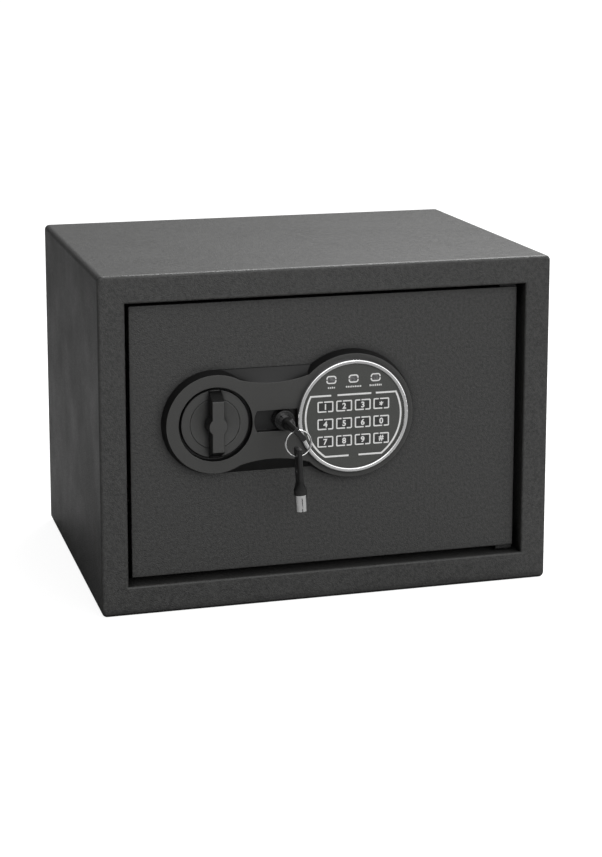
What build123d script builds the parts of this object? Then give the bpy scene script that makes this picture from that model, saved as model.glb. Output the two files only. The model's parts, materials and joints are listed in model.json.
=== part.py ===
from build123d import *
from math import cos, radians, sin
import os

os.makedirs("parts", exist_ok=True)

# An in-room safe with a turn knob, a keypad and an override lock on its door.
# Millimetres. The origin is the centre of the base, +X is the user's right, +Y is the back, +Z is up.

# ---------------------------------------------------------------- driving dimensions
case_width = 350
case_depth = 256
case_height = 256
sheet = 2
case_corner = 4
front_bend = 2.2
lip_bend = 1.6
front_y = -case_depth / 2
back_y = case_depth / 2

opening_width = 310
opening_low = 22
opening_high = 235
lip_depth = 20

anchor_spacing = 150
anchor_radius = 5
base_anchor_y = 10
back_anchor_z = 128

door_recess = 8
door_thickness = 3
door_gap = 4
door_low = 26.2
door_high = 231.7
door_front = front_y + door_recess
door_back = door_front + door_thickness
door_mid_z = (door_low + door_high) / 2
door_half_width = opening_width / 2 - door_gap

hinge_x = 147
hinge_y = -114.5
hinge_pin_radius = 2
running_gap = 0.05
seat_gap = 0.02
cut_through = 20
screw_head_radius = 2.9
screw_head_height = 1.7
screw_cross_length = 3.2
screw_cross_width = 0.7

frame_sheet = 1.5
frame_left = -146
frame_right = 136
frame_low = 32
frame_high = 226
frame_back = -80

control_z = 141.3
knob_x = -88.3
lock_x = -36.3
keypad_x = 17

bezel_face = -128.5
keypad_face = -131
key_cap_gap = 0.2

bolt_radius = 9
bolt_y = -97
bolt_zs = (door_mid_z - 60, door_mid_z + 60)
bolt_tip_x = -150
bolt_root_x = -104
bolt_travel = 16
carriage_back = -102.5
carriage_thickness = 3
crank_offset = bolt_travel / 2
crank_pin_radius = 2.5
bolt_screw_radius = 2.5
bolt_screw_head_radius = 4.6
bolt_screw_depth = 14


def front_plane(y):
    # The upright plane across the safe at depth y, facing the user.
    return Plane.XZ.offset(-y)


# ---------------------------------------------------------------- casing
anchor_xs = (-anchor_spacing / 2, anchor_spacing / 2)
opening_height = opening_high - opening_low
opening_mid_z = (opening_low + opening_high) / 2

# Four walls, the front frame and the lips folded back around the door opening.
with BuildPart() as casing_wrap:
    with BuildSketch(front_plane(back_y)):
        with Locations((0, case_height / 2)):
            RectangleRounded(case_width, case_height, case_corner)
    extrude(amount=case_depth)
    fillet(casing_wrap.faces().sort_by(Axis.Y)[0].edges(), front_bend)
    with BuildSketch(front_plane(back_y)):
        with Locations((0, case_height / 2)):
            RectangleRounded(case_width - 2 * sheet, case_height - 2 * sheet, case_corner - sheet)
    extrude(amount=case_depth - sheet, mode=Mode.SUBTRACT)
    with BuildSketch(front_plane(front_y + lip_depth)):
        with Locations((0, opening_mid_z)):
            Rectangle(opening_width + 2 * sheet, opening_height + 2 * sheet)
    extrude(amount=lip_depth - sheet / 2)
    with BuildSketch(front_plane(front_y + lip_depth)):
        with Locations((0, opening_mid_z)):
            Rectangle(opening_width, opening_height)
    extrude(amount=lip_depth, mode=Mode.SUBTRACT)
    fillet(casing_wrap.faces().sort_by(Axis.Y)[0].inner_wires()[0].edges(), lip_bend)
    with BuildSketch(Plane.XY):
        with Locations([(x, base_anchor_y) for x in anchor_xs]):
            Circle(anchor_radius)
    extrude(amount=sheet, mode=Mode.SUBTRACT)
    with Locations((hinge_x, hinge_y, opening_high + sheet / 2), (hinge_x, hinge_y, opening_low - sheet / 2)):
        Cylinder(hinge_pin_radius + seat_gap, sheet + 1, mode=Mode.SUBTRACT)
casing_wrap.part.label = "casing_wrap"
export_step(casing_wrap.part, "parts/casing_wrap.step")

# Rear wall, welded inside the wrap.
with BuildPart() as back_panel:
    with BuildSketch(front_plane(back_y)):
        with Locations((0, case_height / 2)):
            RectangleRounded(case_width - 2.2 * sheet, case_height - 2.2 * sheet, case_corner - sheet)
        with Locations([(x, back_anchor_z) for x in anchor_xs]):
            Circle(anchor_radius, mode=Mode.SUBTRACT)
    extrude(amount=sheet)
back_panel.part.label = "back_panel"
export_step(back_panel.part, "parts/back_panel.step")

# Felt laid on the floor, cut away round the anchor holes.
mat_width = 340
mat_front = -104
mat_back = 123
mat_thickness = 2
with BuildPart() as floor_mat:
    with BuildSketch(Plane.XY.offset(sheet)):
        with Locations((0, (mat_front + mat_back) / 2)):
            RectangleRounded(mat_width, mat_back - mat_front, 6)
        with Locations([(x, base_anchor_y) for x in anchor_xs]):
            Circle(11, mode=Mode.SUBTRACT)
    extrude(amount=mat_thickness)
floor_mat.part.label = "floor_mat"
export_step(floor_mat.part, "parts/floor_mat.step")

# ---------------------------------------------------------------- hinge
# Each end has a headed pin through the casing's lip, and a lug welded behind the door plate.
pin_length = 16
pin_head_radius = 4
pin_head_height = 1.5
lug_height = 17
lug_gap = 0.6
lug_radius = 5
lug_left = 138
for end, lip_outer, inward in (("top", opening_high + sheet, -1), ("bottom", opening_low - sheet, 1)):
    lug_outer = lip_outer + inward * (sheet + lug_gap)
    with BuildPart() as hinge_pin:
        with BuildSketch(Plane((hinge_x, hinge_y, lip_outer), z_dir=(0, 0, inward))):
            Circle(hinge_pin_radius)
        extrude(amount=pin_length)
        with BuildSketch(Plane((hinge_x, hinge_y, lip_outer), z_dir=(0, 0, inward))):
            Circle(pin_head_radius)
        extrude(amount=-pin_head_height)
    hinge_pin.part.label = f"hinge_pin_{end}"
    export_step(hinge_pin.part, f"parts/hinge_pin_{end}.step")

    with BuildPart() as hinge_lug:
        with BuildSketch(Plane.XY.offset(lug_outer)):
            with Locations((hinge_x, hinge_y)):
                Circle(lug_radius)
            with Locations(((lug_left + hinge_x) / 2, hinge_y)):
                Rectangle(hinge_x - lug_left, 2 * lug_radius)
            with Locations((hinge_x, door_back - lug_radius)):
                Rectangle(40, 2 * lug_radius, mode=Mode.SUBTRACT)
            with Locations((hinge_x, hinge_y)):
                Circle(hinge_pin_radius + running_gap, mode=Mode.SUBTRACT)
        extrude(amount=inward * lug_height)
    hinge_lug.part.label = f"hinge_lug_{end}"
    export_step(hinge_lug.part, f"parts/hinge_lug_{end}.step")

# ---------------------------------------------------------------- door
lock_body_radius = 7.7
bush_radius = 6
bush_flange_radius = 9
knob_screw_spots = [(knob_x + 33.5 * cos(radians(a)), control_z + 33.5 * sin(radians(a))) for a in (135, 225)]
keypad_screw_spots = [(keypad_x + 45 * cos(radians(a)), control_z + 45 * sin(radians(a))) for a in (45, -45)]
bezel_screw_spots = knob_screw_spots + keypad_screw_spots
bezel_screw_radius = 1.5
cable_hole_radius = 7
cable_x = keypad_x + 18
cable_z = control_z - 8

plate_edge_round = 0.6
with BuildPart() as door_plate:
    with BuildSketch(front_plane(door_back)):
        with Locations((0, door_mid_z)):
            Rectangle(2 * door_half_width, door_high - door_low)
        with Locations((knob_x, control_z)):
            Circle(bush_radius + seat_gap, mode=Mode.SUBTRACT)
        with Locations((lock_x, control_z)):
            Circle(lock_body_radius + seat_gap, mode=Mode.SUBTRACT)
        with Locations((cable_x, cable_z)):
            Circle(cable_hole_radius, mode=Mode.SUBTRACT)
        with Locations(bezel_screw_spots):
            Circle(bezel_screw_radius + 0.2, mode=Mode.SUBTRACT)
    extrude(amount=door_thickness)
    fillet(door_plate.faces().sort_by(Axis.Y)[0].outer_wire().edges(), plate_edge_round)
door_plate.part.label = "door_plate"
export_step(door_plate.part, "parts/door_plate.step")

# Folded ring behind the plate: it stiffens the door and its left side guides the bolts.
frame_mid_x = (frame_left + frame_right) / 2
frame_mid_z = (frame_low + frame_high) / 2
frame_width = frame_right - frame_left
frame_height = frame_high - frame_low
tab_size = 14
cover_screw_inset = 8
cover_screw_radius = 1.5
cover_screw_spots = [
    (x, z)
    for x in (frame_left + cover_screw_inset, frame_right - cover_screw_inset)
    for z in (frame_low + cover_screw_inset, frame_high - cover_screw_inset)
]
with BuildPart() as door_frame:
    with BuildSketch(front_plane(frame_back)):
        with Locations((frame_mid_x, frame_mid_z)):
            RectangleRounded(frame_width, frame_height, 3)
            RectangleRounded(frame_width - 2 * frame_sheet, frame_height - 2 * frame_sheet, 1.5, mode=Mode.SUBTRACT)
    extrude(amount=frame_back - door_back)
    with BuildSketch(front_plane(frame_back)):
        with Locations((frame_mid_x, frame_mid_z)):
            RectangleRounded(frame_width, frame_height, 3)
            Rectangle(frame_width - 2 * tab_size, frame_height, mode=Mode.SUBTRACT)
            Rectangle(frame_width, frame_height - 2 * tab_size, mode=Mode.SUBTRACT)
        with Locations(cover_screw_spots):
            Circle(cover_screw_radius + seat_gap, mode=Mode.SUBTRACT)
    extrude(amount=frame_sheet)
    for bolt_z in bolt_zs:
        with BuildSketch(Plane.YZ.offset(frame_left - 1)):
            with Locations((bolt_y, bolt_z)):
                Circle(bolt_radius + running_gap)
        extrude(amount=frame_sheet + 2, mode=Mode.SUBTRACT)
door_frame.part.label = "door_frame"
export_step(door_frame.part, "parts/door_frame.step")

# Battery bay, sized for four AA cells lying across the door.
cell_radius = 7.25
cell_length = 50.5
cell_pitch = 15.5
bay_x = 60
bay_z = 91
bay_inner_length = 60
bay_inner_height = 4 * cell_pitch + 2
bay_wall = 1.5
bay_front = -110
bay_back = -81.6
lid_gap = 0.4
bay_length = bay_inner_length + 2 * bay_wall
bay_height = bay_inner_height + 2 * bay_wall
hatch_length = bay_length + 3
hatch_height = bay_height + 3
cover_thickness = 1.2
cover_back = frame_back + cover_thickness
reset_x = 112
reset_z = 60
reset_radius = 3.2

with BuildPart() as inner_cover:
    with BuildSketch(front_plane(cover_back)):
        with Locations((frame_mid_x, frame_mid_z)):
            RectangleRounded(frame_width, frame_height, 3)
        with Locations((bay_x, bay_z)):
            RectangleRounded(hatch_length, hatch_height, 2, mode=Mode.SUBTRACT)
        with Locations((reset_x, reset_z)):
            Circle(reset_radius + 0.3, mode=Mode.SUBTRACT)
        with Locations(cover_screw_spots):
            Circle(cover_screw_radius + 0.2, mode=Mode.SUBTRACT)
    extrude(amount=cover_thickness)
inner_cover.part.label = "inner_cover"
export_step(inner_cover.part, "parts/inner_cover.step")

cover_screw_length = 6
screw_cross_depth = 1
with BuildPart() as cover_screws:
    for spot in cover_screw_spots:
        with BuildSketch(front_plane(cover_back)):
            with Locations(spot):
                Circle(screw_head_radius)
        extrude(amount=-screw_head_height)
        with BuildSketch(front_plane(cover_back)):
            with Locations(spot):
                Circle(cover_screw_radius)
        extrude(amount=cover_screw_length)
    with BuildSketch(front_plane(cover_back + screw_head_height)):
        with Locations(cover_screw_spots):
            Rectangle(screw_cross_length, screw_cross_width)
            Rectangle(screw_cross_width, screw_cross_length)
    extrude(amount=screw_cross_depth, mode=Mode.SUBTRACT)
cover_screws.part.label = "cover_screws"
export_step(cover_screws.part, "parts/cover_screws.step")

# Button behind a hole in the cover: it puts the keypad into its setting mode.
reset_length = 10.5
reset_collar = 1.4
reset_collar_height = 1.5
with BuildPart() as reset_button:
    with BuildSketch(front_plane(cover_back + 1.2)):
        with Locations((reset_x, reset_z)):
            Circle(reset_radius)
    extrude(amount=reset_length)
    with BuildSketch(front_plane(frame_back - 3)):
        with Locations((reset_x, reset_z)):
            Circle(reset_radius + reset_collar)
    extrude(amount=reset_collar_height)
reset_button.part.label = "reset_button"
export_step(reset_button.part, "parts/reset_button.step")

# Little switch block that the button presses, on its bracket behind the door plate.
switch_width = 13
switch_height = 10
switch_depth = 10
with BuildPart() as reset_switch:
    with BuildSketch(front_plane(frame_back - 9.8)):
        with Locations((reset_x, reset_z)):
            RectangleRounded(switch_width, switch_height, 1)
    extrude(amount=switch_depth)
    with BuildSketch(front_plane(frame_back - 19.8)):
        with Locations((reset_x, reset_z)):
            Rectangle(5, 16)
    extrude(amount=frame_back - 19.8 - door_back)
reset_switch.part.label = "reset_switch"
export_step(reset_switch.part, "parts/reset_switch.step")

# ---------------------------------------------------------------- bezel
knob_lobe_base = 39.5
knob_lobe_face = 37.2
keypad_lobe_base = 49.7
keypad_lobe_face = 47.5
bezel_height = door_front - bezel_face
waist_x = -43
waist_half_height = 29
knob_well_radius = 28.1
knob_well_floor = 1.5
keypad_radius = 40
ring_radius = 43.2
overlay_thickness = 0.8
pedestal_face = keypad_face + overlay_thickness
board_ledge = -125.2
board_thickness = 1.6
pocket_left = -57
pocket_right = -26
pocket_low = 133.2
pocket_high = 149.4
pocket_bulge = 2.2
pocket_floor = 2.5


def lobe_point(centre_x, radius, angle):
    return (centre_x + radius * cos(radians(angle)), control_z + radius * sin(radians(angle)))


def key_spots():
    # Centres of the twelve keys, row by row from the top left.
    pitch = 14.6
    rows = (8.4, -5.0, -18.4)
    return [(keypad_x + (col - 1.5) * pitch, control_z + row) for row in rows for col in range(4)]


key_width = 9.8
key_height = 5.8
lamp_spots = [(keypad_x + dx, control_z + 28.8) for dx in (-17.3, 0, 17.3)]
lamp_width = 6
lamp_height = 4.2

board_shelf = 3
board_recess = 2.4
bezel_screw_hole_depth = 5.5
with BuildPart() as bezel:
    for centre_x, base, face in ((knob_x, knob_lobe_base, knob_lobe_face), (keypad_x, keypad_lobe_base, keypad_lobe_face)):
        with BuildSketch(front_plane(door_front)):
            with Locations((centre_x, control_z)):
                Circle(base)
        with BuildSketch(front_plane(bezel_face)):
            with Locations((centre_x, control_z)):
                Circle(face)
        loft(ruled=True)
    with BuildSketch(front_plane(door_front)):
        with Locations(((knob_x + keypad_x) / 2, control_z)):
            Rectangle(keypad_x - knob_x, 2 * knob_lobe_base)
    with BuildSketch(front_plane(bezel_face)):
        with BuildLine():
            left_top = lobe_point(knob_x, knob_lobe_face, 60)
            right_top = lobe_point(keypad_x, keypad_lobe_face, 135)
            left_low = lobe_point(knob_x, knob_lobe_face, -60)
            right_low = lobe_point(keypad_x, keypad_lobe_face, -135)
            Line(left_low, left_top)
            ThreePointArc(left_top, (waist_x, control_z + waist_half_height), right_top)
            Line(right_top, right_low)
            ThreePointArc(right_low, (waist_x, control_z - waist_half_height), left_low)
        make_face()
    loft(ruled=True)
    with BuildSketch(front_plane(bezel_face)):
        with Locations((keypad_x, control_z)):
            Circle(keypad_radius - 0.1)
    extrude(amount=bezel_face - pedestal_face)
    with BuildSketch(front_plane(door_front - knob_well_floor)):
        with Locations((knob_x, control_z)):
            Circle(knob_well_radius)
    extrude(amount=cut_through, mode=Mode.SUBTRACT)
    with BuildSketch(front_plane(door_front)):
        with Locations((knob_x, control_z)):
            Circle(bush_radius + 0.2)
        with Locations((lock_x, control_z)):
            Circle(lock_body_radius + 0.1)
    extrude(amount=cut_through, mode=Mode.SUBTRACT)
    with BuildSketch(front_plane(door_front - pocket_floor)):
        with BuildLine():
            Line((pocket_left, pocket_high), (pocket_right, pocket_high))
            Line((pocket_right, pocket_high), (pocket_right, pocket_low))
            Line((pocket_right, pocket_low), (pocket_left, pocket_low))
            ThreePointArc(
                (pocket_left, pocket_low),
                (pocket_left - pocket_bulge, (pocket_low + pocket_high) / 2),
                (pocket_left, pocket_high),
            )
        make_face()
    extrude(amount=cut_through, mode=Mode.SUBTRACT)
    with BuildSketch(front_plane(door_front)):
        with Locations((keypad_x, control_z)):
            Circle(keypad_radius - 0.4)
    extrude(amount=door_front - board_ledge, mode=Mode.SUBTRACT)
    with BuildSketch(front_plane(board_ledge)):
        with Locations((keypad_x, control_z)):
            Circle(keypad_radius - board_shelf)
    extrude(amount=board_recess, mode=Mode.SUBTRACT)
    with BuildSketch(front_plane(board_ledge)):
        with Locations(key_spots()):
            RectangleRounded(key_width + 2 * key_cap_gap, key_height + 2 * key_cap_gap, 1.2)
        with Locations(lamp_spots):
            Rectangle(lamp_width + 0.2, lamp_height + 0.2)
    extrude(amount=cut_through, mode=Mode.SUBTRACT)
    with BuildSketch(front_plane(door_front)):
        with Locations(bezel_screw_spots):
            Circle(bezel_screw_radius + seat_gap)
    extrude(amount=bezel_screw_hole_depth, mode=Mode.SUBTRACT)
bezel.part.label = "bezel"
export_step(bezel.part, "parts/bezel.step")

with BuildPart() as bezel_screws:
    with BuildSketch(front_plane(door_back)):
        with Locations(bezel_screw_spots):
            Circle(screw_head_radius)
    extrude(amount=-screw_head_height)
    with BuildSketch(front_plane(door_back)):
        with Locations(bezel_screw_spots):
            Circle(bezel_screw_radius)
    extrude(amount=door_thickness + 5)
bezel_screws.part.label = "bezel_screws"
export_step(bezel_screws.part, "parts/bezel_screws.step")

# ---------------------------------------------------------------- keypad
with BuildPart() as keypad_overlay:
    with BuildSketch(front_plane(pedestal_face)):
        with Locations((keypad_x, control_z)):
            Circle(keypad_radius - 0.1)
        with Locations(key_spots()):
            RectangleRounded(key_width + 2 * key_cap_gap, key_height + 2 * key_cap_gap, 1.2, mode=Mode.SUBTRACT)
        with Locations(lamp_spots):
            Rectangle(lamp_width + 0.2, lamp_height + 0.2, mode=Mode.SUBTRACT)
    extrude(amount=overlay_thickness)
keypad_overlay.part.label = "keypad_overlay"
export_step(keypad_overlay.part, "parts/keypad_overlay.step")

with BuildPart() as keypad_ring:
    with BuildSketch(front_plane(bezel_face)):
        with Locations((keypad_x, control_z)):
            Circle(ring_radius)
            Circle(keypad_radius, mode=Mode.SUBTRACT)
    extrude(amount=bezel_face - keypad_face + 1)
    fillet(keypad_ring.faces().sort_by(Axis.Y)[0].edges(), 1)
keypad_ring.part.label = "keypad_ring"
export_step(keypad_ring.part, "parts/keypad_ring.step")

key_names = ("1", "2", "3", "star", "4", "5", "6", "0", "7", "8", "9", "hash")
key_back = board_ledge - 0.6
for name, spot in zip(key_names, key_spots()):
    with BuildPart() as key_pad:
        with BuildSketch(front_plane(key_back)):
            with Locations(spot):
                RectangleRounded(key_width, key_height, 1)
        extrude(amount=key_back - keypad_face + 0.1)
    key_pad.part.label = f"key_{name}"
    export_step(key_pad.part, f"parts/key_{name}.step")

with BuildPart() as indicator_lenses:
    with BuildSketch(front_plane(board_ledge - 2)):
        with Locations(lamp_spots):
            RectangleRounded(lamp_width, lamp_height, 0.6)
    extrude(amount=board_ledge - 2 - keypad_face + 0.05)
indicator_lenses.part.label = "indicator_lenses"
export_step(indicator_lenses.part, "parts/indicator_lenses.step")

chip_height = 1.6
with BuildPart() as keypad_board:
    with BuildSketch(front_plane(board_ledge + board_thickness)):
        with Locations((keypad_x, control_z)):
            Circle(keypad_radius - 0.8)
    extrude(amount=board_thickness)
    with BuildSketch(front_plane(board_ledge + board_thickness)):
        with Locations((keypad_x - 8, control_z - 4)):
            Rectangle(14, 14)
        with Locations((keypad_x + 10, control_z + 14)):
            Rectangle(9, 6)
    extrude(amount=-chip_height)
keypad_board.part.label = "keypad_board"
export_step(keypad_board.part, "parts/keypad_board.step")

# ---------------------------------------------------------------- knob and crank
knob_radius = 26.2
knob_rim = 0.8
knob_face = front_y + 2
knob_back = -122
dish_radius = 18.5
dish_depth = 1.1
line_radius = 18.9
line_width = 0.5
line_depth = 0.5
grip_width = 9.4
grip_crest = front_y - 9.5
grip_half_length = 19.2
grip_foot_half_length = 25
grip_hub_radius = 6.75
spindle_radius = 4
spindle_front = -131
cam_front = -113.4
cam_back = -109.2
knob_axis = Axis((knob_x, 0, control_z), (0, 1, 0))

grip_edge_round = 0.7
with BuildPart() as knob:
    with BuildSketch(Plane.YZ.offset(knob_x)):
        with BuildLine():
            Line((knob_face + dish_depth, control_z), (knob_back, control_z))
            Line((knob_back, control_z), (knob_back, control_z + knob_radius))
            Line((knob_back, control_z + knob_radius), (knob_face + knob_rim, control_z + knob_radius))
            Line((knob_face + knob_rim, control_z + knob_radius), (knob_face, control_z + knob_radius - knob_rim))
            Line((knob_face, control_z + knob_radius - knob_rim), (knob_face, control_z + dish_radius))
            ThreePointArc(
                (knob_face, control_z + dish_radius),
                (knob_face + 0.8 * dish_depth, control_z + dish_radius / 2),
                (knob_face + dish_depth, control_z),
            )
        make_face()
    revolve(axis=knob_axis)
    with BuildSketch(front_plane(knob_face)):
        with Locations((knob_x, control_z)):
            Circle(line_radius + line_width / 2)
            Circle(line_radius - line_width / 2, mode=Mode.SUBTRACT)
    extrude(amount=-line_depth, mode=Mode.SUBTRACT)
    with BuildSketch(Plane.YZ.offset(knob_x - grip_width / 2)):
        with BuildLine():
            Polyline(
                (knob_face + 2, control_z - grip_foot_half_length),
                (knob_face, control_z - grip_foot_half_length),
                (grip_crest, control_z - grip_half_length),
                (grip_crest, control_z + grip_half_length),
                (knob_face, control_z + grip_foot_half_length),
                (knob_face + 2, control_z + grip_foot_half_length),
                close=True,
            )
        make_face()
    extrude(amount=grip_width)
    with BuildSketch(front_plane(knob_face + 2)):
        with Locations((knob_x, control_z)):
            Circle(grip_hub_radius + 1.2)
    extrude(amount=knob_face + 2 - grip_crest, taper=4)
    fillet(knob.faces().sort_by(Axis.Y)[0].edges(), grip_edge_round)
    with BuildSketch(front_plane(knob_back)):
        with Locations((knob_x, control_z)):
            Circle(spindle_radius + seat_gap)
    extrude(amount=knob_back - spindle_front, mode=Mode.SUBTRACT)
knob.part.label = "knob"
export_step(knob.part, "parts/knob.step")

cam_screw_radius = 2
cam_screw_hole_depth = 10
with BuildPart() as spindle:
    with BuildSketch(front_plane(cam_back)):
        with Locations((knob_x, control_z)):
            Circle(spindle_radius)
    extrude(amount=cam_back - spindle_front - 0.2)
    with BuildSketch(front_plane(cam_back)):
        with Locations((knob_x, control_z)):
            Circle(cam_screw_radius + seat_gap)
    extrude(amount=cam_screw_hole_depth, mode=Mode.SUBTRACT)
spindle.part.label = "spindle"
export_step(spindle.part, "parts/spindle.step")

bush_flange_height = 1.5
with BuildPart() as spindle_bush:
    with BuildSketch(front_plane(door_back)):
        with Locations((knob_x, control_z)):
            Circle(bush_flange_radius)
    extrude(amount=-bush_flange_height)
    with BuildSketch(front_plane(door_back)):
        with Locations((knob_x, control_z)):
            Circle(bush_radius)
    extrude(amount=door_thickness + 1)
    with BuildSketch(front_plane(door_back + 5)):
        with Locations((knob_x, control_z)):
            Circle(spindle_radius + running_gap)
    extrude(amount=cut_through, mode=Mode.SUBTRACT)
spindle_bush.part.label = "spindle_bush"
export_step(spindle_bush.part, "parts/spindle_bush.step")

# The crank pin starts 45 degrees past the upright, so a quarter turn moves it straight across.
crank_pin_length = 7.5
with BuildPart() as drive_cam:
    with BuildSketch(front_plane(cam_back)):
        with Locations((knob_x, control_z)):
            Circle(8)
        with Locations((knob_x + crank_offset / 2, control_z + crank_offset / 2)):
            SlotCenterToCenter(crank_offset * 2**0.5, 9, rotation=45)
        with Locations((knob_x, control_z)):
            Circle(spindle_radius + seat_gap, mode=Mode.SUBTRACT)
    extrude(amount=cam_back - cam_front)
    with BuildSketch(front_plane(cam_back)):
        with Locations((knob_x + crank_offset, control_z + crank_offset)):
            Circle(crank_pin_radius)
    extrude(amount=-crank_pin_length)
drive_cam.part.label = "drive_cam"
export_step(drive_cam.part, "parts/drive_cam.step")

cam_screw_head_radius = 4.6
cam_screw_head_height = 2
cam_screw_length = 9
with BuildPart() as cam_screw:
    with BuildSketch(front_plane(cam_back)):
        with Locations((knob_x, control_z)):
            Circle(cam_screw_head_radius)
    extrude(amount=-cam_screw_head_height)
    with BuildSketch(front_plane(cam_back)):
        with Locations((knob_x, control_z)):
            Circle(cam_screw_radius)
    extrude(amount=cam_screw_length)
cam_screw.part.label = "cam_screw"
export_step(cam_screw.part, "parts/cam_screw.step")

# ---------------------------------------------------------------- bolt work
carriage_right = -58
carriage_mid_x = (bolt_root_x + carriage_right) / 2
carriage_half_height = 70
post_x = -84
post_radius = 3
post_zs = (door_mid_z - 48, door_mid_z + 52)
plunger_x = -46
plunger_y = -104
arm_low = 102
arm_high = 114
arm_right = -22

with BuildPart() as bolt_carriage:
    with BuildSketch(front_plane(carriage_back)):
        with Locations((carriage_mid_x, door_mid_z)):
            Rectangle(carriage_right - bolt_root_x, 2 * carriage_half_height)
        with Locations(((carriage_mid_x + arm_right) / 2, (arm_low + arm_high) / 2)):
            Rectangle(arm_right - carriage_mid_x, arm_high - arm_low)
        # The crank pin's slot is wider than the pin, because the pin moves on an arc.
        with Locations((knob_x + crank_offset, control_z + 1.2 * crank_offset)):
            SlotOverall(12, 2 * crank_pin_radius + 1.4, rotation=90, mode=Mode.SUBTRACT)
        with Locations([(post_x + bolt_travel / 2, z) for z in post_zs]):
            SlotOverall(bolt_travel + 2 * post_radius + 0.6, 2 * post_radius + 0.6, mode=Mode.SUBTRACT)
        with Locations((plunger_x + bolt_travel / 2, arm_low)):
            Rectangle(bolt_travel + 8, 10, mode=Mode.SUBTRACT)
    extrude(amount=carriage_thickness)
    for bolt_z in bolt_zs:
        with BuildSketch(Plane.YZ.offset(bolt_root_x)):
            with Locations(((bolt_y + carriage_back) / 2 + bolt_radius / 2 - 1.5, bolt_z)):
                Rectangle(bolt_radius + 8.5, 2 * bolt_radius + 2)
            with Locations((bolt_y, bolt_z)):
                Circle(bolt_screw_radius + seat_gap, mode=Mode.SUBTRACT)
        extrude(amount=carriage_thickness)
bolt_carriage.part.label = "bolt_carriage"
export_step(bolt_carriage.part, "parts/bolt_carriage.step")

bolt_nose_chamfer = 1.5
for name, bolt_z in zip(("lower", "upper"), bolt_zs):
    with BuildPart() as bolt:
        with BuildSketch(Plane.YZ.offset(bolt_tip_x)):
            with Locations((bolt_y, bolt_z)):
                Circle(bolt_radius)
        extrude(amount=bolt_root_x - bolt_tip_x)
        chamfer(bolt.faces().sort_by(Axis.X)[0].edges(), bolt_nose_chamfer)
        with BuildSketch(Plane.YZ.offset(bolt_root_x)):
            with Locations((bolt_y, bolt_z)):
                Circle(bolt_screw_radius + seat_gap)
        extrude(amount=-bolt_screw_depth, mode=Mode.SUBTRACT)
    bolt.part.label = f"bolt_{name}"
    export_step(bolt.part, f"parts/bolt_{name}.step")

bolt_screw_head_height = 3
with BuildPart() as bolt_screws:
    for bolt_z in bolt_zs:
        with BuildSketch(Plane.YZ.offset(bolt_root_x + carriage_thickness)):
            with Locations((bolt_y, bolt_z)):
                Circle(bolt_screw_head_radius)
        extrude(amount=bolt_screw_head_height)
        with BuildSketch(Plane.YZ.offset(bolt_root_x + carriage_thickness)):
            with Locations((bolt_y, bolt_z)):
                Circle(bolt_screw_radius)
        extrude(amount=-bolt_screw_depth)
bolt_screws.part.label = "bolt_screws"
export_step(bolt_screws.part, "parts/bolt_screws.step")

guide_x = -124
guide_back = -86
guide_height = 28
guide_thickness = 3
with BuildPart() as bolt_guides:
    for bolt_z in bolt_zs:
        with BuildSketch(Plane.YZ.offset(guide_x)):
            with Locations(((door_back + guide_back) / 2, bolt_z)):
                Rectangle(guide_back - door_back, guide_height)
            with Locations((bolt_y, bolt_z)):
                Circle(bolt_radius + running_gap, mode=Mode.SUBTRACT)
        extrude(amount=guide_thickness)
bolt_guides.part.label = "bolt_guides"
export_step(bolt_guides.part, "parts/bolt_guides.step")

post_head_radius = 5.5
post_head_height = 2
with BuildPart() as guide_posts:
    with BuildSketch(front_plane(carriage_back + 0.3)):
        with Locations([(post_x, z) for z in post_zs]):
            Circle(post_radius)
    extrude(amount=carriage_back + 0.3 - door_back)
    with BuildSketch(front_plane(carriage_back + 2.3)):
        with Locations([(post_x, z) for z in post_zs]):
            Circle(post_head_radius)
    extrude(amount=post_head_height)
guide_posts.part.label = "guide_posts"
export_step(guide_posts.part, "parts/guide_posts.step")

# The solenoid's pin rises into a notch under the carriage's arm.
solenoid_low = 68
solenoid_high = 97
plunger_radius = 2.5
with BuildPart() as solenoid_body:
    with BuildSketch(Plane.XY.offset(solenoid_low)):
        with Locations((plunger_x, (door_back - 95) / 2)):
            Rectangle(20, -95 - door_back)
    extrude(amount=solenoid_high - solenoid_low)
    with BuildSketch(Plane.XY.offset(solenoid_low + 3)):
        with Locations((plunger_x, plunger_y)):
            Circle(plunger_radius + running_gap)
    extrude(amount=solenoid_high, mode=Mode.SUBTRACT)
solenoid_body.part.label = "solenoid_body"
export_step(solenoid_body.part, "parts/solenoid_body.step")

with BuildPart() as solenoid_plunger:
    with BuildSketch(Plane.XY.offset(solenoid_low + 8)):
        with Locations((plunger_x, plunger_y)):
            Circle(plunger_radius)
    extrude(amount=arm_low + 2.5 - solenoid_low - 8)
solenoid_plunger.part.label = "solenoid_plunger"
export_step(solenoid_plunger.part, "parts/solenoid_plunger.step")

# ---------------------------------------------------------------- battery bay
with BuildPart() as battery_box:
    with BuildSketch(front_plane(bay_back)):
        with Locations((bay_x, bay_z)):
            Rectangle(bay_length, bay_height)
    extrude(amount=bay_back - bay_front)
    with BuildSketch(front_plane(bay_back)):
        with Locations((bay_x, bay_z)):
            Rectangle(bay_inner_length, bay_inner_height)
    extrude(amount=bay_back - bay_front - bay_wall, mode=Mode.SUBTRACT)
    for x in (bay_x - 20, bay_x + 20):
        with BuildSketch(front_plane(bay_front)):
            with Locations((x, bay_z)):
                Circle(4)
        extrude(amount=bay_front - door_back)
battery_box.part.label = "battery_box"
export_step(battery_box.part, "parts/battery_box.step")

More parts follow.
